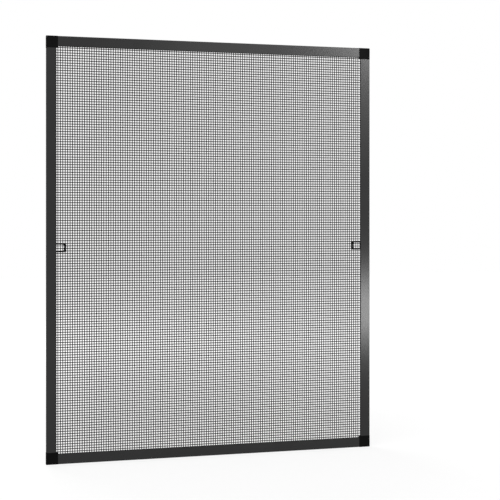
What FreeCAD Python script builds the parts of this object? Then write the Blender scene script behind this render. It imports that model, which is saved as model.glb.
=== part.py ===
import FreeCAD, Part
import math
import os

# Window screen frame, upright, in millimetres.
# X runs across the window, Z up, and Y from the flat front face to the back.
# The origin is the middle of the bottom edge, halfway through the depth.
# A side's section is drawn with u inward from the frame's outer edge and v back from its front face.

# Whole frame
frame_width = 800.0
frame_height = 1000.0
frame_depth = 9.0

# Extruded profile
profile_width = 24.0  # the flat band seen from the front
wall = 1.0
divider_wall = 0.9  # between the hollow box and the groove
box_width = 18.5  # outer edge to the groove, at the floor
divider_jog = 0.75  # how far the divider steps back behind its ledge
ledge_height = 5.1  # front face to the ledge that the spline snaps under
ledge_thickness = 0.8
ledge_nib = 0.5
lip_height = 5.3  # front face to the top of the lip that carries the cloth
lip_thickness = 0.9
lip_nib = 0.5
lip_nib_thickness = 0.45
edge_radius = 0.8  # long outer edges
box_edge_radius = 0.6  # the box's long edge beside the groove
small_radius = 0.2  # groove corners and nib tips

# Corner connectors
corner_size = 28.0
corner_proud = 0.3  # how far a corner stands out past the profiles' outer edge
corner_radius = 2.0
corner_edge = 0.5  # bevel of the outer edges, radius of the post under the weave
post_drop = 0.1  # corner post under the weave
arm_length = 42.0
arm_fit = 0.15
arm_taper = 5.0
arm_tip_inset = 1.6
barb_count = 4
barb_length = 2.4
barb_ease = 0.02  # barb tip to the chamber wall
arm_rib = 2.0
arm_pockets = 3
arm_web = 1.6  # what is left under the arm's pockets
arm_rim = 1.8  # walls along the arm's pockets
arm_root = 1.0  # how deep an arm is rooted in its corner

# Woven cloth
cloth_thickness = 0.4
thread_width = 2.0
thread_height = 0.3
warp_pitch = 5.63
weft_pitch = 5.95
warp_shift = -0.7  # upright thread nearest the frame's middle
weft_shift = -2.5  # level thread nearest mid-height
cloth_margin = 0.3  # clear of the band's inner edge
cloth_trim = 0.1  # cut edge of the cloth to the divider's rounded foot
gap_columns = 10
gap_rows = 12
gap_share = 0.68  # of a column or row, for its opening

# Rubber spline
spline_fit = 0.15
spline_ribs = 10
spline_rib_height = 0.2
spline_bore = 1.2

# Pull tabs
tab_height = 21.8
tab_rise = 5.5  # the tab's middle above mid-height
tab_reach = 23.0  # past the band's inner edge
tab_thickness = 2.0
tab_arm = 4.0
tab_bar = 5.2
tab_outer_radius = 2.2
tab_inner_radius = 3.0
tab_root_radius = 0.6
tab_tongue = 0.45
tab_tongue_inset = 1.0
tab_fit = 0.1

# Places along u that the pieces share
band_edge = corner_proud + profile_width
lip_face = band_edge - lip_thickness
lip_nib_face = lip_face - lip_nib
divider_face = corner_proud + box_width
rear_divider_face = divider_face - divider_jog
chamber_outer = corner_proud + wall
chamber_front = divider_face - divider_wall
chamber_rear = rear_divider_face - divider_wall
cloth_face = lip_nib_face - cloth_thickness

# Places along v that the pieces share
ledge_low = ledge_height - ledge_thickness
cloth_back = lip_height + cloth_thickness
spline_floor = wall + cloth_thickness
tab_front = cloth_back + thread_height + tab_fit
tab_back = tab_front + tab_thickness

# Spline section
spline_radius = (cloth_face - divider_face) / 2 - spline_fit
spline_u = divider_face + spline_fit + spline_radius
spline_v = spline_floor + spline_fit / 3 + spline_radius


def at_side(side, u, v, along):
    """Point on a side of the frame; along is X on a rail and Z on a stile."""
    y = v - frame_depth / 2
    if side == "left":
        return FreeCAD.Vector(u - frame_width / 2, y, along)
    if side == "right":
        return FreeCAD.Vector(frame_width / 2 - u, y, along)
    if side == "bottom":
        return FreeCAD.Vector(along, y, u)
    return FreeCAD.Vector(along, y, frame_height - u)


def at_corner(corner, a, b, v):
    """Point on a corner; a is inward from the upright outer edge, b from the level one."""
    level, upright = corner
    x = at_side(upright, a, v, 0).x
    return FreeCAD.Vector(x, v - frame_depth / 2, at_side(level, b, v, 0).z)


def outline_wire(corners, place):
    """Closed wire through (p, q, radius) corners, each rounded by an arc of its radius."""
    stretches = []
    for i, (p, q, radius) in enumerate(corners):
        here = FreeCAD.Vector(p, q, 0)
        if radius == 0:
            stretches.append((here, None, here))
            continue
        before = FreeCAD.Vector(*corners[i - 1][:2], 0)
        after = FreeCAD.Vector(*corners[(i + 1) % len(corners)][:2], 0)
        back = (before - here).normalize()
        ahead = (after - here).normalize()
        half_angle = back.getAngle(ahead) / 2
        bisector = (back + ahead).normalize()
        reach = radius / math.tan(half_angle)
        middle = here + bisector * (radius / math.sin(half_angle) - radius)
        stretches.append((here + back * reach, middle, here + ahead * reach))
    edges = []
    for i, (start, middle, end) in enumerate(stretches):
        if middle is not None:
            arc = Part.Arc(*[place(w.x, w.y) for w in (start, middle, end)])
            edges.append(arc.toShape())
        following = stretches[(i + 1) % len(stretches)][0]
        if end.distanceToPoint(following) > 1e-6:
            edges.append(Part.LineSegment(place(end.x, end.y), place(following.x, following.y)).toShape())
    return Part.Wire(edges)


def side_run(side, outlines, start, end):
    """A section drawn in u and v, run along a side from start to end; later outlines are its hollows."""
    wires = [outline_wire(o, lambda u, v: at_side(side, u, v, start)) for o in outlines]
    face = Part.makeFace(wires, "Part::FaceMakerBullseye")
    return face.extrude(at_side(side, 0, 0, end) - at_side(side, 0, 0, start))


def side_plate(side, outlines, v_front, v_back):
    """A plate drawn in u and the way along a side about its middle, from v_front back to v_back."""
    middle = (run_start(side) + run_end(side)) / 2
    wires = [outline_wire(o, lambda u, s: at_side(side, u, v_front, middle + s)) for o in outlines]
    face = Part.makeFace(wires, "Part::FaceMakerBullseye")
    return face.extrude(FreeCAD.Vector(0, v_back - v_front, 0))


def corner_plate(corner, outline, v_front, v_back):
    """A plate drawn in a and b on a corner, from v_front back to v_back."""
    wire = outline_wire(outline, lambda a, b: at_corner(corner, a, b, v_front))
    return Part.Face(wire).extrude(FreeCAD.Vector(0, v_back - v_front, 0))


def sheet_block(inset, v_front, v_back):
    """A flat block that stays inset from the frame's outer edge all round."""
    low = at_corner(("bottom", "left"), inset, inset, v_front)
    width = frame_width - 2 * inset
    height = frame_height - 2 * inset
    return Part.makeBox(width, v_back - v_front, height, low)


def square(low, high, radius=0.0):
    return [(low, low, 0), (high, low, 0), (high, high, radius), (low, high, 0)]


def rectangle(p_low, q_low, p_high, q_high):
    return [(p_low, q_low, 0), (p_high, q_low, 0), (p_high, q_high, 0), (p_low, q_high, 0)]


def run_start(side):
    return -frame_width / 2 if side in ("top", "bottom") else 0.0


def run_end(side):
    return frame_width / 2 if side in ("top", "bottom") else frame_height


# Extruded profile: a hollow box with a groove beside it and a lip that carries the cloth

def profile_outline():
    nib_root = lip_height - lip_nib_thickness - lip_nib
    return [
        (corner_proud, 0, edge_radius),
        (band_edge, 0, edge_radius),
        (band_edge, lip_height, small_radius),
        (lip_nib_face, lip_height, small_radius),
        (lip_nib_face, lip_height - lip_nib_thickness, 0),
        (lip_face, nib_root, 0),
        (lip_face, wall, small_radius),
        (divider_face, wall, small_radius),
        (divider_face, ledge_low, 0),
        (divider_face + ledge_nib, ledge_low, small_radius),
        (divider_face + ledge_nib, ledge_height, small_radius),
        (rear_divider_face, ledge_height, small_radius),
        (rear_divider_face, frame_depth, box_edge_radius),
        (corner_proud, frame_depth, edge_radius),
    ]


def chamber_outline():
    jog_high = ledge_height - small_radius
    jog_low = jog_high - divider_jog
    return [
        (chamber_outer, wall, 0),
        (chamber_front, wall, 0),
        (chamber_front, jog_low, 0),
        (chamber_rear, jog_high, 0),
        (chamber_rear, frame_depth - wall, 0),
        (chamber_outer, frame_depth - wall, 0),
    ]


def profile_length(side):
    start = run_start(side) + corner_size
    end = run_end(side) - corner_size
    return side_run(side, [profile_outline(), chamber_outline()], start, end)


# Corner connector: a square body with the groove turning through it and two barbed arms

def arm_outline(reach):
    """One arm in across and along: barbs on both long sides and a tapered tip."""
    low = chamber_outer + arm_fit
    high = chamber_rear - arm_fit
    start = corner_size - arm_root
    tip = corner_size + reach
    straight = reach - arm_taper
    step = straight / barb_count
    barbs = [corner_size + step * (k + 0.5) for k in range(barb_count)]
    barb = arm_fit - barb_ease
    points = [(low, start, 0)]
    for along in barbs:
        points += [(low, along, 0), (low - barb, along, 0), (low, along + barb_length, 0)]
    points += [(low, tip - arm_taper, 0), (low + arm_tip_inset, tip, 0)]
    points += [(high - arm_tip_inset, tip, 0), (high, tip - arm_taper, 0)]
    for along in reversed(barbs):
        points += [(high, along + barb_length, 0), (high + barb, along, 0), (high, along, 0)]
    points.append((high, start, 0))
    return points


def turned(outline):
    return [(q, p, radius) for p, q, radius in outline]


def corner_arm(corner, level):
    """The arm that goes into the stile, or into the rail where level is true."""
    back = frame_depth - wall - arm_fit
    outline = arm_outline(arm_length)
    low = chamber_outer + arm_fit + arm_rim
    high = chamber_rear - arm_fit - arm_rim
    pitch = (arm_length - arm_taper) / arm_pockets
    pockets = []
    for k in range(arm_pockets):
        start = corner_size + pitch * k + arm_rib / 2
        pockets.append(rectangle(low, start, high, start + pitch - arm_rib))
    if level:
        outline = turned(outline)
        pockets = [turned(p) for p in pockets]
    arm = corner_plate(corner, outline, wall + arm_fit, back)
    cutters = [corner_plate(corner, p, wall + arm_fit + arm_web, back) for p in pockets]
    return arm.cut(cutters)


def corner_body(corner):
    outline = square(0, corner_size)
    outline[0] = (0, 0, corner_radius)
    body = corner_plate(corner, outline, 0, frame_depth)
    outer_edges = []
    for edge in body.Edges:
        middle = edge.valueAt((edge.FirstParameter + edge.LastParameter) / 2)
        inward = at_corner(corner, 0, 0, 0)
        from_upright = abs(middle.x - inward.x)
        from_level = abs(middle.z - inward.z)
        on_face = abs(abs(middle.y) - frame_depth / 2) < 1e-6
        if on_face and min(from_upright, from_level) < corner_radius:
            outer_edges.append(edge)
    body = body.makeChamfer(corner_edge, outer_edges)
    past = corner_size + wall
    rear_step = corner_plate(corner, square(rear_divider_face, past), ledge_height, frame_depth + wall)
    groove = corner_plate(corner, square(divider_face, past), wall, ledge_height)
    post_top = lip_height - thread_height - post_drop
    post = corner_plate(corner, square(lip_nib_face, corner_size, corner_edge), 0, post_top)
    floor = corner_plate(corner, square(lip_face, corner_size + wall), -wall, wall)
    rounded_floor = floor.cut(corner_plate(corner, square(0, corner_size, corner_edge), -wall, wall))
    return body.cut([rear_step, groove]).fuse(post).cut(rounded_floor)


def corner_connector(corner):
    body = corner_body(corner)
    return body.fuse([corner_arm(corner, False), corner_arm(corner, True)]).removeSplitter()


# Woven cloth: one wall with a grid of openings, and a ridge for each thread between them

def thread_places(half_span, pitch, shift):
    first = math.ceil((-half_span - shift) / pitch)
    last = math.floor((half_span - shift) / pitch)
    return [shift + pitch * k for k in range(first, last + 1)]


def spread_gaps(places, count):
    """count openings spread evenly over the cloth, each from one thread's edge to another's."""
    cells = (len(places) - 1) / count
    span = max(1, round(cells * gap_share))
    firsts = [int((i + 0.5) * cells - span / 2) for i in range(count)]
    return [(places[c] + thread_width / 2, places[c + span] - thread_width / 2) for c in firsts]


def whole_threads(places, gaps):
    """The threads that no opening cuts."""
    return [p for p in places if not any(low < p < high for low, high in gaps)]


def screen_cloth():
    y_front = lip_height - frame_depth / 2
    y_back = cloth_back - frame_depth / 2
    sheet = sheet_block(cloth_face, lip_height, cloth_back)
    rim = [e for e in sheet.Edges if min(v.Y for v in e.Vertexes) > y_back - 1e-6]
    sheet = sheet.makeChamfer(cloth_thickness / 2, rim)
    skirt = sheet_block(cloth_face, wall, lip_height).cut(sheet_block(lip_nib_face, wall, lip_height))
    hem = divider_face + small_radius + cloth_trim
    foot = sheet_block(hem, wall, spline_floor).cut(sheet_block(lip_nib_face, wall, spline_floor))
    half_width = frame_width / 2 - band_edge - cloth_margin
    half_height = frame_height / 2 - band_edge - cloth_margin
    warp = thread_places(half_width - thread_width / 2, warp_pitch, warp_shift)
    weft = thread_places(half_height - thread_width / 2, weft_pitch, weft_shift)
    columns = spread_gaps(warp, gap_columns)
    rows = spread_gaps(weft, gap_rows)
    middle = frame_height / 2
    sunk = cloth_thickness / 4
    ridges = []
    for x in whole_threads(warp, columns):
        low = FreeCAD.Vector(x - thread_width / 2, y_front - thread_height, middle - half_height)
        ridges.append(Part.makeBox(thread_width, thread_height + sunk, 2 * half_height, low))
    for z in whole_threads(weft, rows):
        low = FreeCAD.Vector(-half_width, y_back - sunk, middle + z - thread_width / 2)
        ridges.append(Part.makeBox(2 * half_width, thread_height + sunk, thread_width, low))
    gaps = []
    for x_low, x_high in columns:
        for z_low, z_high in rows:
            low = FreeCAD.Vector(x_low, y_front - thread_height, middle + z_low)
            depth = cloth_thickness + 2 * thread_height
            gaps.append(Part.makeBox(x_high - x_low, depth, z_high - z_low, low))
    return sheet.fuse([skirt, foot]).removeSplitter().fuse(ridges).cut(gaps)


# Pull tab: a flat D-shaped loop with a tongue down into the groove

def tab_loop(side):
    root = cloth_face - tab_tongue
    end = band_edge + tab_reach
    low = tab_rise - tab_height / 2
    high = tab_rise + tab_height / 2
    outer = [
        (root, low, tab_root_radius),
        (end, low, tab_outer_radius),
        (end, high, tab_outer_radius),
        (root, high, tab_root_radius),
    ]
    hole = [
        (band_edge, low + tab_arm, tab_root_radius),
        (end - tab_bar, low + tab_arm, tab_inner_radius),
        (end - tab_bar, high - tab_arm, tab_inner_radius),
        (band_edge, high - tab_arm, tab_root_radius),
    ]
    return side_plate(side, [outer, hole], tab_front, tab_back)


def tongue_block(side, clearance):
    """The tongue; the spline's cut for it is the same block with a clearance."""
    half = tab_height / 2 - tab_tongue_inset + clearance
    outline = rectangle(cloth_face - tab_tongue - clearance, tab_rise - half, cloth_face, tab_rise + half)
    return side_plate(side, [outline], spline_floor + tab_fit / 2, tab_front + tab_thickness / 2)


def pull_tab(side):
    return tab_loop(side).fuse(tongue_block(side, 0.0)).removeSplitter()


# Rubber spline: a ribbed cord with a small bore, pressed in over the cloth

def spline_outlines():
    ribbed = []
    for k in range(2 * spline_ribs):
        angle = math.pi * k / spline_ribs
        reach = spline_radius - spline_rib_height * (k % 2)
        ribbed.append((spline_u + reach * math.cos(angle), spline_v + reach * math.sin(angle), 0))
    bore = []
    for k in range(spline_ribs):
        angle = 2 * math.pi * k / spline_ribs
        reach = spline_bore / 2
        bore.append((spline_u + reach * math.cos(angle), spline_v + reach * math.sin(angle), 0))
    return [ribbed, bore]


def spline(side):
    upright = side in ("left", "right")
    inset = divider_face + spline_fit
    if not upright:
        inset = spline_u + spline_radius + spline_fit
    run = side_run(side, spline_outlines(), run_start(side) + inset, run_end(side) - inset)
    return run.cut(tongue_block(side, tab_fit / 2)) if upright else run


pieces = {
    "left_stile": profile_length("left"),
    "right_stile": profile_length("right"),
    "top_rail": profile_length("top"),
    "bottom_rail": profile_length("bottom"),
    "corner_top_left": corner_connector(("top", "left")),
    "corner_top_right": corner_connector(("top", "right")),
    "corner_bottom_left": corner_connector(("bottom", "left")),
    "corner_bottom_right": corner_connector(("bottom", "right")),
    "screen_cloth": screen_cloth(),
    "spline_left": spline("left"),
    "spline_right": spline("right"),
    "spline_top": spline("top"),
    "spline_bottom": spline("bottom"),
    "pull_tab_left": pull_tab("left"),
    "pull_tab_right": pull_tab("right"),
}

os.makedirs("parts", exist_ok=True)
for name, shape in pieces.items():
    shape.exportStep(f"parts/{name}.step")
    print(name, "solids", len(shape.Solids), "valid", shape.isValid(), "volume", round(shape.Volume, 1))
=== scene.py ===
import bmesh
import bpy
import math
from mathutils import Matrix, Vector


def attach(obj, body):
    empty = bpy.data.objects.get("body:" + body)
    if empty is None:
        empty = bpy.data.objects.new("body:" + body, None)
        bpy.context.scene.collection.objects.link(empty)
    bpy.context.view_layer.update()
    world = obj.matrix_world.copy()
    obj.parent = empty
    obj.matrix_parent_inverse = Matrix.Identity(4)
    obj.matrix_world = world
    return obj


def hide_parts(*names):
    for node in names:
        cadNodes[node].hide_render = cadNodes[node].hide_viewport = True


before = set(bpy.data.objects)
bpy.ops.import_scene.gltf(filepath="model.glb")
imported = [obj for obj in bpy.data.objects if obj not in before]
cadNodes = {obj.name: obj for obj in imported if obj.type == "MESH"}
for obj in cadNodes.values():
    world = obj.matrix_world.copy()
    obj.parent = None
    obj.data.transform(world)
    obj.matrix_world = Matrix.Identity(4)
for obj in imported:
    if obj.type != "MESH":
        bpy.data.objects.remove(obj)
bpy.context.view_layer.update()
mm = 0.001
frameSize = {"width": 800 * mm, "height": 1000 * mm, "depth": 9 * mm}
print("frame loaded:", len(cadNodes), "nodes")


# Helpers for node trees

def addNode(tree, kind, inputs=None, **settings):  # inputs take a plain value or another node's socket
    made = tree.nodes.new(kind)
    for key, value in settings.items():
        setattr(made, key, value)
    for key, value in (inputs or {}).items():
        if isinstance(value, bpy.types.NodeSocket):
            tree.links.new(value, made.inputs[key])
        else:
            made.inputs[key].default_value = value
    return made


def doMath(tree, operation, first, second=0.0, third=0.0, clamp=False):
    return addNode(
        tree, "ShaderNodeMath", {0: first, 1: second, 2: third}, operation=operation, use_clamp=clamp
    ).outputs[0]


def add(tree, first, second, clamp=False):
    return doMath(tree, "ADD", first, second, clamp=clamp)


def subtract(tree, first, second):
    return doMath(tree, "SUBTRACT", first, second)


def multiply(tree, first, second, clamp=False):
    return doMath(tree, "MULTIPLY", first, second, clamp=clamp)


def divide(tree, first, second):
    return doMath(tree, "DIVIDE", first, second)


def newMaterial(name):
    material = bpy.data.materials.new(name)
    material.use_nodes = True
    tree = material.node_tree
    tree.nodes.clear()
    output = addNode(tree, "ShaderNodeOutputMaterial")
    surface = addNode(tree, "ShaderNodeBsdfPrincipled")
    tree.links.new(surface.outputs[0], output.inputs["Surface"])
    coords = addNode(tree, "ShaderNodeTexCoord")
    return material, tree, surface, coords.outputs["Object"]


def noise(tree, coords, scale, detail=2.0, roughness=0.5):
    made = addNode(
        tree, "ShaderNodeTexNoise",
        {"Vector": coords, "Scale": scale, "Detail": detail, "Roughness": roughness},
    )
    return made.outputs["Factor"] if "Factor" in made.outputs else made.outputs["Fac"]


def spread(tree, value, fromLow, fromHigh, toLow, toHigh):
    ranged = addNode(tree, "ShaderNodeMapRange", {0: value, 1: fromLow, 2: fromHigh, 3: toLow, 4: toHigh})
    return ranged.outputs[0]


def mixColours(tree, factor, first, second):
    mixed = addNode(tree, "ShaderNodeMix", {0: factor, 6: first, 7: second}, data_type="RGBA")
    return mixed.outputs[2]


def grey(value, warmth=0.0):
    return (value * (1 + warmth), value, value * (1 - warmth), 1.0)


def bump(tree, height, distance, strength=1.0, normal=None):
    inputs = {"Height": height, "Distance": distance, "Strength": strength}
    if normal is not None:
        inputs["Normal"] = normal
    return addNode(tree, "ShaderNodeBump", inputs).outputs[0]


# How far a point lies inward from the frame's outer edge and back from its front face, in millimetres

def sectionPlace(tree, coords):
    split = addNode(tree, "ShaderNodeSeparateXYZ", {0: coords})
    x, y, z = split.outputs
    fromUpright = subtract(tree, frameSize["width"] / 2, doMath(tree, "ABSOLUTE", x))
    fromMiddle = doMath(tree, "ABSOLUTE", subtract(tree, z, frameSize["height"] / 2))
    fromLevel = subtract(tree, frameSize["height"] / 2, fromMiddle)
    inward = multiply(tree, doMath(tree, "MINIMUM", fromUpright, fromLevel), 1 / mm)
    back = multiply(tree, add(tree, y, frameSize["depth"] / 2), 1 / mm)
    return inward, back


def edgeWear(tree, coords, reach, amount):  # thin and broken, along the frame's front and back outer edges
    inward, back = sectionPlace(tree, coords)
    nearest = doMath(tree, "MINIMUM", back, subtract(tree, frameSize["depth"] / mm, back))
    far = doMath(
        tree, "SQRT", add(tree, doMath(tree, "POWER", inward, 2.0), doMath(tree, "POWER", nearest, 2.0))
    )
    near = spread(tree, far, 0.25, reach, 1.0, 0.0)
    patches = spread(tree, noise(tree, coords, 55.0, detail=5.0, roughness=0.7), 0.52, 0.68, 0.0, amount)
    return multiply(tree, near, patches, clamp=True)


# Materials

powderCoat = {
    "dark": 0.0082, "light": 0.0112, "worn": 0.05, "smooth": 0.2, "rough": 0.22, "specular": 0.36,
    "grain": 0.0007, "innerEdge": 24.3,
}

def makePowderCoat(look):
    material, tree, surface, coords = newMaterial("anthracitePowderCoat")
    inward, back = sectionPlace(tree, coords)
    lines = addNode(tree, "ShaderNodeCombineXYZ", {0: inward, 1: back, 2: 0.0}).outputs[0]
    drawn = noise(tree, lines, 2.6, detail=3.0, roughness=0.6)  # faint die lines along each length
    cloudy = noise(tree, coords, 14.0, detail=4.0, roughness=0.6)
    peel = noise(tree, coords, 1 / look["grain"], detail=2.0, roughness=0.45)
    speck = noise(tree, coords, 4.2 / look["grain"], detail=2.0, roughness=0.6)
    worn = edgeWear(tree, coords, reach=0.9, amount=0.55)
    # painted shade: the rounded inner edge and the wall behind it get a darker base colour standing in for
    # the shade there, and are also made matt
    mattInnerEdgeWithPaintedShade = spread(tree, inward, look["innerEdge"] - 0.85, look["innerEdge"] - 0.55, 0.0, 1.0)
    base = mixColours(
        tree, spread(tree, cloudy, 0.35, 0.65, 0.0, 1.0), grey(look["dark"]), grey(look["light"], -0.03)
    )
    base = mixColours(tree, spread(tree, speck, 0.62, 0.8, 0.0, 0.5), base, grey(look["light"] * 1.9))
    base = mixColours(tree, worn, base, grey(look["worn"]))
    # painted shade on the inner edge: the base colour there is darkened to half the dark tone
    tree.links.new(
        mixColours(tree, mattInnerEdgeWithPaintedShade, base, grey(look["dark"] * 0.5)), surface.inputs["Base Color"]
    )
    rough = spread(
        tree, add(tree, multiply(tree, cloudy, 0.6), multiply(tree, drawn, 0.4)), 0.35, 0.65,
        look["smooth"], look["rough"],
    )
    rough = add(tree, rough, multiply(tree, worn, 0.12))
    tree.links.new(
        add(tree, rough, multiply(tree, mattInnerEdgeWithPaintedShade, 0.75), clamp=True), surface.inputs["Roughness"]
    )
    dieLines = bump(tree, drawn, distance=0.000012, strength=0.5)
    tree.links.new(
        bump(tree, peel, distance=0.000014, strength=0.6, normal=dieLines), surface.inputs["Normal"]
    )
    surface.inputs["Specular IOR Level"].default_value = look["specular"]
    return material


cornerPlastic = {
    "dark": 0.0016, "light": 0.0032, "scuffed": 0.02, "smooth": 0.4, "rough": 0.54, "specular": 0.06,
    "grain": 0.00045,
}

def makeMouldedPlastic(name, look):
    material, tree, surface, coords = newMaterial(name)
    cloudy = noise(tree, coords, 60.0, detail=4.0, roughness=0.6)
    leather = addNode(
        tree, "ShaderNodeTexVoronoi", {"Vector": coords, "Scale": 1 / look["grain"]}, feature="SMOOTH_F1"
    ).outputs["Distance"]
    grain = noise(tree, coords, 2.2 / look["grain"], detail=2.0, roughness=0.5)
    flow = noise(tree, coords, 22.0, detail=2.0, roughness=0.4)
    worn = edgeWear(tree, coords, reach=0.8, amount=0.4)
    base = mixColours(
        tree, spread(tree, cloudy, 0.35, 0.65, 0.0, 1.0), grey(look["dark"]), grey(look["light"])
    )
    tree.links.new(mixColours(tree, worn, base, grey(look["scuffed"])), surface.inputs["Base Color"])
    tree.links.new(spread(tree, flow, 0.3, 0.7, look["smooth"], look["rough"]), surface.inputs["Roughness"])
    height = add(tree, multiply(tree, leather, 0.6), multiply(tree, grain, 0.4))
    tree.links.new(bump(tree, height, distance=0.00005, strength=0.55), surface.inputs["Normal"])
    surface.inputs["Specular IOR Level"].default_value = look["specular"]
    return material


threadCoat = {
    "dark": 0.0028, "light": 0.016, "fleck": 0.06, "smooth": 0.42, "rough": 0.62, "specular": 0.08,
    "knobble": 0.0007,
}

def makeThreadCoat(look):
    material, tree, surface, coords = newMaterial("coatedGlassThread")
    cloudy = noise(tree, coords, 260.0, detail=3.0, roughness=0.6)
    knobble = noise(tree, coords, 1 / look["knobble"], detail=3.0, roughness=0.55)
    flecks = noise(tree, coords, 2.4 / look["knobble"], detail=2.0, roughness=0.7)
    base = mixColours(
        tree, spread(tree, cloudy, 0.35, 0.7, 0.0, 1.0), grey(look["dark"]), grey(look["light"])
    )
    base = mixColours(tree, spread(tree, flecks, 0.66, 0.8, 0.0, 0.7), base, grey(look["fleck"]))
    tree.links.new(base, surface.inputs["Base Color"])
    tree.links.new(
        spread(tree, knobble, 0.3, 0.7, look["smooth"], look["rough"]), surface.inputs["Roughness"]
    )
    tree.links.new(bump(tree, knobble, distance=0.00014, strength=0.6), surface.inputs["Normal"])
    surface.inputs["Specular IOR Level"].default_value = look["specular"]
    return material


splineRubber = {
    "dark": 0.0045, "light": 0.009, "dust": 0.03, "smooth": 0.62, "rough": 0.82, "specular": 0.25
}

def makeSplineRubber(look):
    material, tree, surface, coords = newMaterial("splineRubber")
    cloudy = noise(tree, coords, 35.0, detail=4.0, roughness=0.6)
    pores = noise(tree, coords, 2600.0, detail=2.0, roughness=0.5)
    dust = spread(tree, noise(tree, coords, 420.0, detail=4.0, roughness=0.7), 0.58, 0.75, 0.0, 0.5)
    base = mixColours(tree, cloudy, grey(look["dark"]), grey(look["light"]))
    tree.links.new(mixColours(tree, dust, base, grey(look["dust"], 0.04)), surface.inputs["Base Color"])
    tree.links.new(
        spread(tree, cloudy, 0.3, 0.7, look["smooth"], look["rough"]), surface.inputs["Roughness"]
    )
    tree.links.new(bump(tree, pores, distance=0.00004, strength=0.5), surface.inputs["Normal"])
    surface.inputs["Specular IOR Level"].default_value = look["specular"]
    return material


profileCoat = makePowderCoat(powderCoat)
cornerBlack = makeMouldedPlastic("cornerPlastic", cornerPlastic)
tabBlack = makeMouldedPlastic(
    "tabPlastic", dict(cornerPlastic, dark=0.0015, light=0.003, smooth=0.34, rough=0.46, grain=0.0003)
)
threadBlack = makeThreadCoat(threadCoat)
rubberBlack = makeSplineRubber(splineRubber)
print("materials made")


# Helpers for pieces that Geometry Nodes make

def newGeometryTree(name, inputs):
    tree = bpy.data.node_groups.new(name, "GeometryNodeTree")
    tree.interface.new_socket(name="Geometry", in_out="OUTPUT", socket_type="NodeSocketGeometry")
    for label, kind in inputs.items():
        tree.interface.new_socket(name=label, in_out="INPUT", socket_type="NodeSocket" + kind)
    return tree, addNode(tree, "NodeGroupInput").outputs, addNode(tree, "NodeGroupOutput").inputs[0]


def bakePiece(name, tree, inputs):
    host = bpy.data.objects.new(name + "Host", bpy.data.meshes.new(name + "Host"))
    bpy.context.scene.collection.objects.link(host)
    modifier = host.modifiers.new(name, "NODES")
    modifier.node_group = tree
    for socket in tree.interface.items_tree:
        if socket.item_type == "SOCKET" and socket.in_out == "INPUT":
            modifier[socket.identifier] = inputs[socket.name]
    bpy.context.view_layer.update()
    evaluated = host.evaluated_get(bpy.context.evaluated_depsgraph_get())
    mesh = bpy.data.meshes.new_from_object(evaluated)
    host.modifiers.remove(modifier)
    bpy.data.objects.remove(host)
    piece = bpy.data.objects.new(name, mesh)
    bpy.context.scene.collection.objects.link(piece)
    mesh.name = name
    print(name, "polygons", len(mesh.polygons))
    return piece


# Woven insect cloth: level threads weave over and under taut upright ones, all tucked into the groove

screenMesh = {
    "uprightThreads": 133, "firstUpright": -372.06 * mm, "uprightPitch": 5.6251 * mm,
    "levelThreads": 160, "firstLevel": -472.14 * mm, "levelPitch": 5.9461 * mm,
    "threadWidth": 2.05 * mm, "threadThickness": 0.66 * mm, "weaveLift": 0.25 * mm, "wander": 0.05 * mm,
    "clothDepth": 1.0 * mm, "lipEdge": 24.5 * mm, "lipTop": 23.1 * mm, "foldInset": 22.75 * mm,
    "tuckInset": 22.68 * mm, "lipDepth": 1.06 * mm, "foldDepth": 0.7 * mm, "tuckDepth": -3.2 * mm,
    "cutSize": (770 * mm, 970 * mm), "uprightStretches": 7, "seed": 7,
}
setInputs = {
    "Threads": "Int", "First thread": "Float", "Thread pitch": "Float", "Crossings": "Int",
    "First crossing": "Float", "Crossing pitch": "Float", "Half size": "Float",
}
sharedInputs = {
    "Lip edge": "Float", "Lip top": "Float", "Fold inset": "Float", "Tuck inset": "Float",
    "Cloth depth": "Float", "Lip depth": "Float", "Fold depth": "Float", "Tuck depth": "Float",
    "Width": "Float", "Thickness": "Float", "Weave lift": "Float", "Wander": "Float", "Seed": "Int",
}
clothInputs = {
    "Upright threads": "Int", "First upright": "Float", "Upright pitch": "Float", "Level threads": "Int",
    "First level": "Float", "Level pitch": "Float", "Half width": "Float", "Half height": "Float",
    "Upright stretches": "Int", "Middle height": "Float", "Material": "Material",
}

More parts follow.
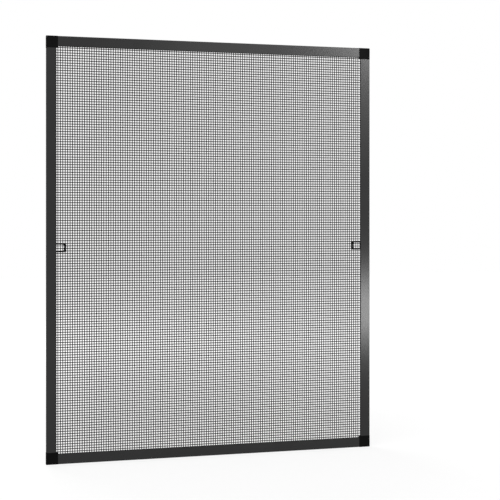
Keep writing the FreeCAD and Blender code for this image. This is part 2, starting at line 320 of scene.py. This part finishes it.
def makeThreadTree():
    # one set of parallel threads, lying flat: along X, spread over Y, the front of the cloth at +Z
    tree, given, result = newGeometryTree("parallelThreads", {**setInputs, **sharedInputs})
    endPoints = 4
    count = add(tree, given["Crossings"], 2.0 * endPoints)
    line = addNode(tree, "GeometryNodeMeshLine", {"Count": count}, mode="OFFSET")
    index = addNode(tree, "GeometryNodeInputIndex").outputs[0]
    fromFar = subtract(tree, subtract(tree, count, 1.0), index)
    fromEnd = doMath(tree, "MINIMUM", index, fromFar)
    side = doMath(tree, "SIGN", subtract(tree, index, fromFar))
    insets = addNode(tree, "GeometryNodeIndexSwitch", {0: fromEnd}, data_type="FLOAT")
    depths = addNode(tree, "GeometryNodeIndexSwitch", {0: fromEnd}, data_type="FLOAT")
    for switch, labels in (
        (insets, ("Tuck inset", "Fold inset", "Lip top", "Lip edge")),
        (depths, ("Tuck depth", "Fold depth", "Lip depth", "Lip depth")),
    ):
        while len(switch.index_switch_items) < endPoints:
            switch.index_switch_items.new()
        for place, label in enumerate(labels):
            tree.links.new(given[label], switch.inputs[place + 1])
    endAlong = multiply(tree, side, subtract(tree, given["Half size"], insets.outputs[0]))
    crossing = subtract(tree, index, float(endPoints))
    crossingAlong = doMath(tree, "MULTIPLY_ADD", crossing, given["Crossing pitch"], given["First crossing"])
    atCrossing = doMath(tree, "GREATER_THAN", fromEnd, endPoints - 0.5)
    along = addNode(
        tree, "GeometryNodeSwitch", {0: atCrossing, 1: endAlong, 2: crossingAlong}, input_type="FLOAT"
    ).outputs[0]
    depth = addNode(
        tree, "GeometryNodeSwitch", {0: atCrossing, 1: depths.outputs[0], 2: given["Cloth depth"]},
        input_type="FLOAT",
    ).outputs[0]
    place = addNode(tree, "ShaderNodeCombineXYZ", {0: along, 2: multiply(tree, depth, -1.0)}).outputs[0]
    path = addNode(
        tree, "GeometryNodeSetPosition", {"Geometry": line.outputs[0], "Position": place}
    ).outputs[0]
    parity = subtract(tree, multiply(tree, doMath(tree, "FLOORED_MODULO", crossing, 2.0), 2.0), 1.0)
    swing = multiply(tree, parity, atCrossing)
    stored = addNode(
        tree, "GeometryNodeStoreNamedAttribute", {"Geometry": path, "Name": "swing", "Value": swing},
        data_type="FLOAT", domain="POINT",
    )
    # one path on every row, then the rows take turns over and under
    rows = addNode(tree, "GeometryNodeMeshLine", {"Count": given["Threads"]}, mode="OFFSET")
    rowPlace = doMath(
        tree, "MULTIPLY_ADD", addNode(tree, "GeometryNodeInputIndex").outputs[0], given["Thread pitch"],
        given["First thread"],
    )
    rowPoints = addNode(
        tree, "GeometryNodeSetPosition",
        {
            "Geometry": rows.outputs[0],
            "Position": addNode(tree, "ShaderNodeCombineXYZ", {1: rowPlace}).outputs[0],
        },
    )
    placed = addNode(
        tree, "GeometryNodeInstanceOnPoints",
        {"Points": rowPoints.outputs[0], "Instance": stored.outputs[0]},
    )
    real = addNode(tree, "GeometryNodeRealizeInstances", {0: placed.outputs[0]}).outputs[0]
    here = addNode(
        tree, "ShaderNodeSeparateXYZ", {0: addNode(tree, "GeometryNodeInputPosition").outputs[0]}
    )
    row = doMath(
        tree, "ROUND",
        divide(tree, subtract(tree, here.outputs[1], given["First thread"]), given["Thread pitch"]),
    )
    turn = subtract(tree, 1.0, multiply(tree, doMath(tree, "FLOORED_MODULO", row, 2.0), 2.0))
    swingHere = addNode(
        tree, "GeometryNodeInputNamedAttribute", {"Name": "swing"}, data_type="FLOAT"
    ).outputs[0]
    lift = multiply(tree, multiply(tree, swingHere, turn), given["Weave lift"])
    span = {0: (-1.0, -1.0, -1.0), 1: (1.0, 1.0, 1.0), "ID": row, "Seed": given["Seed"]}
    jitter = addNode(tree, "FunctionNodeRandomValue", span, data_type="FLOAT_VECTOR").outputs[0]
    sideways = multiply(
        tree, addNode(tree, "ShaderNodeSeparateXYZ", {0: jitter}).outputs[1], given["Wander"]
    )
    offset = addNode(tree, "ShaderNodeCombineXYZ", {1: sideways, 2: lift}).outputs[0]
    woven = addNode(tree, "GeometryNodeSetPosition", {"Geometry": real, "Offset": offset}).outputs[0]
    curves = addNode(tree, "GeometryNodeMeshToCurve", {0: woven}).outputs[0]
    level = addNode(tree, "GeometryNodeSetCurveNormal", {0: curves}, mode="Z_UP").outputs[0]
    halfThick = multiply(tree, given["Thickness"], 0.5)
    section = addNode(
        tree, "GeometryNodeCurvePrimitiveQuadrilateral",
        {"Width": given["Width"], "Bottom Height": halfThick, "Top Height": halfThick}, mode="KITE",
    )
    tubes = addNode(
        tree, "GeometryNodeCurveToMesh",
        {"Curve": level, "Profile Curve": section.outputs[0], "Fill Caps": True},
    )
    tree.links.new(tubes.outputs[0], result)
    return tree


def makeClothTree():
    tree, given, result = newGeometryTree("wovenCloth", {**clothInputs, **sharedInputs})
    shared = {label: given[label] for label in sharedInputs}
    threadTree = makeThreadTree()
    level = addNode(tree, "GeometryNodeGroup", node_tree=threadTree)
    upright = addNode(tree, "GeometryNodeGroup", node_tree=threadTree)
    stretches = given["Upright stretches"]
    reach = divide(tree, multiply(tree, given["First level"], -2.0), subtract(tree, stretches, 1.0))
    levelOwn = {
        "Threads": given["Level threads"], "First thread": given["First level"],
        "Thread pitch": given["Level pitch"], "Crossings": given["Upright threads"],
        "First crossing": given["First upright"], "Crossing pitch": given["Upright pitch"],
        "Half size": given["Half width"],
    }
    uprightOwn = {
        "Threads": given["Upright threads"], "First thread": given["First upright"],
        "Thread pitch": given["Upright pitch"], "Crossings": stretches,
        "First crossing": given["First level"], "Crossing pitch": reach, "Half size": given["Half height"],
        "Weave lift": 0.0,
    }
    for group, own in ((level, levelOwn), (upright, uprightOwn)):
        for label, value in {**shared, **own}.items():
            if isinstance(value, bpy.types.NodeSocket):
                tree.links.new(value, group.inputs[label])
            else:
                group.inputs[label].default_value = value
    # the upright set is turned a quarter in its own plane, and both are then stood up
    quarter = addNode(
        tree, "GeometryNodeTransform",
        {"Geometry": upright.outputs[0], "Rotation": (0.0, 0.0, -math.pi / 2)},
    )
    both = addNode(tree, "GeometryNodeJoinGeometry", {0: level.outputs[0]})
    tree.links.new(quarter.outputs[0], both.inputs[0])
    up = addNode(tree, "ShaderNodeCombineXYZ", {2: given["Middle height"]}).outputs[0]
    stood = addNode(
        tree, "GeometryNodeTransform",
        {"Geometry": both.outputs[0], "Rotation": (math.pi / 2, 0.0, 0.0), "Translation": up},
    )
    smooth = addNode(tree, "GeometryNodeSetShadeSmooth", {"Geometry": stood.outputs[0]})
    real = addNode(tree, "GeometryNodeRealizeInstances", {0: smooth.outputs[0]})
    coated = addNode(
        tree, "GeometryNodeSetMaterial", {"Geometry": real.outputs[0], "Material": given["Material"]}
    )
    tree.links.new(coated.outputs[0], result)
    return tree


def makeScreenMesh(size):
    inputs = {
        "Upright threads": size["uprightThreads"], "First upright": size["firstUpright"],
        "Upright pitch": size["uprightPitch"],
        "Level threads": size["levelThreads"], "First level": size["firstLevel"],
        "Level pitch": size["levelPitch"],
        "Half width": frameSize["width"] / 2, "Half height": frameSize["height"] / 2,
        "Middle height": frameSize["height"] / 2,
        "Lip edge": size["lipEdge"], "Lip top": size["lipTop"], "Fold inset": size["foldInset"],
        "Tuck inset": size["tuckInset"],
        "Cloth depth": size["clothDepth"], "Lip depth": size["lipDepth"], "Fold depth": size["foldDepth"],
        "Tuck depth": size["tuckDepth"],
        "Width": size["threadWidth"], "Thickness": size["threadThickness"], "Weave lift": size["weaveLift"],
        "Wander": size["wander"], "Seed": size["seed"], "Upright stretches": size["uprightStretches"],
        "Material": threadBlack,
    }
    cloth = bakePiece("wovenScreen", makeClothTree(), inputs)
    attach(cloth, "root")
    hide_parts("screen_cloth")
    return cloth


screen = makeScreenMesh(screenMesh)
print("screen cloth woven")


# Profiles and corners keep their CAD shape and get their finish

for name in ("left_stile", "right_stile", "top_rail", "bottom_rail"):
    for slotPlace in cadNodes[name].material_slots:
        slotPlace.material = profileCoat
for name in cadNodes:
    if name.startswith("corner_"):
        for slotPlace in cadNodes[name].material_slots:
            slotPlace.material = cornerBlack
print("profiles and corners finished")


# Rubber cords in the groove: ribbed, a little wavy and twisted, squeezed beside the pull tabs

splineCord = {
    "radius": 1.7 * mm, "ribDepth": 0.2 * mm, "ribs": 10, "inset": 20.65 * mm, "depth": -1.35 * mm,
    "uprightEnd": 18.95 * mm, "levelEnd": 22.5 * mm, "step": 3.0 * mm, "waver": 0.1 * mm,
    "waveLength": 28 * mm, "twist": 0.9, "squeeze": 0.11, "squeezedFrom": 495.5 * mm,
    "squeezedTo": 515.7 * mm, "squeezeEase": 4 * mm,
}
cordInputs = {
    "Start": "Vector", "End": "Vector", "Step": "Float", "Radius": "Float", "Rib depth": "Float",
    "Ribs": "Int", "Waver": "Float", "Wave length": "Float", "Twist": "Float", "Seed": "Float",
    "Squeeze": "Float", "Squeezed middle": "Float", "Squeezed reach": "Float", "Squeeze ease": "Float",
    "Wall": "Float", "Material": "Material",
}

def makeCordTree():
    tree, given, result = newGeometryTree("ribbedCord", cordInputs)
    line = addNode(tree, "GeometryNodeCurvePrimitiveLine", {"Start": given["Start"], "End": given["End"]})
    points = addNode(
        tree, "GeometryNodeResampleCurve", {"Curve": line.outputs[0], "Length": given["Step"]},
        mode="LENGTH",
    )
    here = addNode(tree, "GeometryNodeInputPosition").outputs[0]
    scale = divide(tree, 1.0, given["Wave length"])
    wave = addNode(
        tree, "ShaderNodeTexNoise", {"Vector": here, "W": given["Seed"], "Scale": scale, "Detail": 1.0},
        noise_dimensions="4D",
    )
    centred = addNode(
        tree, "ShaderNodeVectorMath", {0: wave.outputs["Color"], 1: (0.5, 0.5, 0.5)}, operation="SUBTRACT"
    ).outputs[0]
    offset = addNode(
        tree, "ShaderNodeVectorMath", {0: centred, "Scale": multiply(tree, given["Waver"], 2.0)},
        operation="SCALE",
    ).outputs[0]
    wavy = addNode(
        tree, "GeometryNodeSetPosition", {"Geometry": points.outputs[0], "Offset": offset}
    ).outputs[0]
    lean = multiply(tree, subtract(tree, wave.outputs[0], 0.5), given["Twist"])
    leaning = addNode(tree, "GeometryNodeSetCurveTilt", {"Curve": wavy, "Tilt": lean}).outputs[0]
    inner = subtract(tree, given["Radius"], given["Rib depth"])
    star = addNode(
        tree, "GeometryNodeCurveStar",
        {"Points": given["Ribs"], "Inner Radius": inner, "Outer Radius": given["Radius"]},
    )
    cord = addNode(
        tree, "GeometryNodeCurveToMesh",
        {"Curve": leaning, "Profile Curve": star.outputs[0], "Fill Caps": True},
    ).outputs[0]
    x, y, z = addNode(tree, "ShaderNodeSeparateXYZ", {0: here}).outputs
    beside = subtract(
        tree, doMath(tree, "ABSOLUTE", subtract(tree, z, given["Squeezed middle"])), given["Squeezed reach"]
    )
    pressed = addNode(
        tree, "ShaderNodeMapRange",
        {0: beside, 1: 0.0, 2: given["Squeeze ease"], 3: given["Squeeze"], 4: 0.0},
        interpolation_type="SMOOTHSTEP",
    ).outputs[0]
    inwards = multiply(tree, subtract(tree, given["Wall"], x), pressed)
    shaped = addNode(
        tree, "GeometryNodeSetPosition",
        {"Geometry": cord, "Offset": addNode(tree, "ShaderNodeCombineXYZ", {0: inwards}).outputs[0]},
    )
    smooth = addNode(tree, "GeometryNodeSetShadeSmooth", {"Geometry": shaped.outputs[0]})
    real = addNode(tree, "GeometryNodeRealizeInstances", {0: smooth.outputs[0]})
    coated = addNode(
        tree, "GeometryNodeSetMaterial", {"Geometry": real.outputs[0], "Material": given["Material"]}
    )
    tree.links.new(coated.outputs[0], result)
    return tree


def makeSplineCords(size):
    tree = makeCordTree()
    half, height = frameSize["width"] / 2, frameSize["height"]
    across = half - size["inset"]
    ends = {
        "left": ((-across, size["uprightEnd"]), (-across, height - size["uprightEnd"])),
        "right": ((across, size["uprightEnd"]), (across, height - size["uprightEnd"])),
        "top": (
            (-half + size["levelEnd"], height - size["inset"]),
            (half - size["levelEnd"], height - size["inset"]),
        ),
        "bottom": ((-half + size["levelEnd"], size["inset"]), (half - size["levelEnd"], size["inset"])),
    }
    for seed, (side, (start, end)) in enumerate(ends.items()):
        upright = side in ("left", "right")
        inputs = {
            "Start": (
                start[0], size["depth"], start[1]
            ), "End": (end[0], size["depth"], end[1]), "Step": size["step"],
            "Radius": size["radius"], "Rib depth": size["ribDepth"], "Ribs": size["ribs"],
            "Waver": size["waver"],
            "Wave length": size["waveLength"], "Twist": size["twist"], "Seed": 3.0 + seed,
            "Squeeze": size["squeeze"] if upright else 0.0, "Squeezed middle": (
                size["squeezedFrom"] + size["squeezedTo"]
            ) / 2,
            "Squeezed reach": (
                size["squeezedTo"] - size["squeezedFrom"]
            ) / 2, "Squeeze ease": size["squeezeEase"],
            "Wall": math.copysign(across + size["radius"], start[0]), "Material": rubberBlack,
        }
        cord = bakePiece(side + "Spline", tree, inputs)
        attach(cord, "root")
        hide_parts("spline_" + side)


makeSplineCords(splineCord)
print("spline cords pressed in")


# Pull tabs: the CAD shape with its edges rounded as moulded

tabRounding = {"merge": 0.002 * mm, "flatAngle": 2, "sharpAngle": 40, "width": 0.35 * mm, "segments": 3}

def makePullTab(side, look):
    mesh = cadNodes["pull_tab_" + side].data.copy()
    mesh.name = side + "PullTab"
    shape = bmesh.new()
    shape.from_mesh(mesh)
    bmesh.ops.remove_doubles(shape, verts=shape.verts, dist=look["merge"])
    bmesh.ops.dissolve_limit(
        shape, angle_limit=math.radians(look["flatAngle"]), verts=shape.verts, edges=shape.edges
    )
    sharp = [edge for edge in shape.edges if edge.calc_face_angle(0) > math.radians(look["sharpAngle"])]
    rounding = {
        "offset": look["width"], "segments": look["segments"], "profile": 0.5, "affect": "EDGES",
        "clamp_overlap": True,
    }
    bmesh.ops.bevel(shape, geom=sharp, offset_type="OFFSET", **rounding)
    bmesh.ops.recalc_face_normals(shape, faces=shape.faces)
    shape.to_mesh(mesh)
    shape.free()
    mesh.materials.clear()
    mesh.materials.append(tabBlack)
    mesh.shade_smooth()
    tab = bpy.data.objects.new(mesh.name, mesh)
    bpy.context.scene.collection.objects.link(tab)
    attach(tab, "root")
    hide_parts("pull_tab_" + side)


for side in ("left", "right"):
    makePullTab(side, tabRounding)
print("pull tabs rounded")


# Studio: pale floor, white surroundings, soft lamps

studio = {
    "floorSize": 14.0, "floorColour": 0.25, "nearLift": 0.76, "farLift": 0.9, "liftFrom": 0.5,
    "liftTo": 2.2,
    "ambient": 0.42,
    "lamps": {
        "highCard": {
            "place": (1.82, -3.0, 1.65), "aim": (0.42, 0.0, 1.0), "size": (0.85, 0.3), "watts": 15.9
        },
        "wideCard": {
            "place": (1.08, -3.1, 1.38), "aim": (0.3, 0.0, 0.9), "size": (1.4, 0.85), "watts": 4.2
        },
        "lowCard": {
            "place": (0.817, -1.137, 0.24), "aim": (0.39, 0.0, 0.344), "size": (0.17, 0.2), "watts": 0.215,
            "spread": 60,
        },
        "overhead": {"place": (-1.2, -1.6, 3.4), "aim": (0.0, 0.0, 0.5), "size": (2.4, 2.4), "watts": 60.0},
        "behind": {"place": (-1.0, 2.6, 2.6), "aim": (0.0, 0.0, 0.5), "size": (2.0, 2.0), "watts": 45.0},
    },
}

def seenDirectly(tree):  # 1 for the camera, mirror and glass rays, 0 for the light on the object
    rays = addNode(tree, "ShaderNodeLightPath").outputs
    either = doMath(tree, "MAXIMUM", rays["Is Camera Ray"], rays["Is Glossy Ray"])
    return doMath(tree, "MAXIMUM", either, rays["Is Transmission Ray"])


def makeFloor(look):
    material, tree, surface, coords = newMaterial("paleFloor")
    mottled = noise(tree, coords, 9.0, detail=4.0, roughness=0.6)
    base = mixColours(tree, mottled, grey(look["floorColour"] * 0.985), grey(look["floorColour"]))
    tree.links.new(base, surface.inputs["Base Color"])
    surface.inputs["Roughness"].default_value = 0.9
    surface.inputs["Specular IOR Level"].default_value = 0.1
    surface.inputs["Emission Color"].default_value = grey(1.0)
    away = addNode(tree, "ShaderNodeVectorMath", {0: coords}, operation="LENGTH").outputs["Value"]
    lift = spread(tree, away, look["liftFrom"], look["liftTo"], look["nearLift"], look["farLift"])
    tree.links.new(multiply(tree, seenDirectly(tree), lift), surface.inputs["Emission Strength"])
    half = look["floorSize"] / 2
    mesh = bpy.data.meshes.new("floor")
    mesh.from_pydata(
        [(-half, -half, 0), (half, -half, 0), (half, half, 0), (-half, half, 0)], [], [(0, 1, 2, 3)]
    )
    floor = bpy.data.objects.new("floor", mesh)
    floor.data.materials.append(material)
    bpy.context.scene.collection.objects.link(floor)
    return floor


def makeWorld(look):
    world = bpy.data.worlds.new("whiteStudio")
    bpy.context.scene.world = world
    world.use_nodes = True
    tree = world.node_tree
    tree.nodes.clear()
    strength = spread(tree, seenDirectly(tree), 0.0, 1.0, look["ambient"], 1.0)
    background = addNode(tree, "ShaderNodeBackground", {"Color": grey(1.0), "Strength": strength})
    output = addNode(tree, "ShaderNodeOutputWorld")
    tree.links.new(background.outputs[0], output.inputs["Surface"])


def makeLamps(look):
    for name, lamp in look["lamps"].items():
        data = bpy.data.lights.new(name, "AREA")
        data.shape = "RECTANGLE"
        data.size, data.size_y = lamp["size"]
        data.energy = lamp["watts"]
        data.spread = math.radians(lamp.get("spread", 180))
        placed = bpy.data.objects.new(name, data)
        placed.location = lamp["place"]
        towards = Vector(lamp["aim"]) - Vector(lamp["place"])
        placed.rotation_euler = towards.to_track_quat("-Z", "Y").to_euler()
        placed.visible_camera = False
        bpy.context.scene.collection.objects.link(placed)


makeFloor(studio)
makeWorld(studio)
makeLamps(studio)
print("studio lit")


# Camera at the photograph's place: level, turned 14.2 degrees, window shifted down

camera = {"place": (-0.5440, -2.5059, 0.5871), "turn": -14.217, "focal": 76.158, "shift": (0.0, -0.07454)}

def makeCamera(view):
    data = bpy.data.cameras.new("camera")
    data.sensor_width = 36.0
    data.lens = view["focal"]
    data.shift_x, data.shift_y = view["shift"]
    data.clip_start, data.clip_end = 0.05, 60.0
    placed = bpy.data.objects.new("camera", data)
    placed.location = view["place"]
    placed.rotation_euler = (math.radians(90), 0.0, math.radians(view["turn"]))
    bpy.context.scene.collection.objects.link(placed)
    bpy.context.scene.camera = placed


makeCamera(camera)
bpy.context.scene.view_settings.view_transform = "Standard"
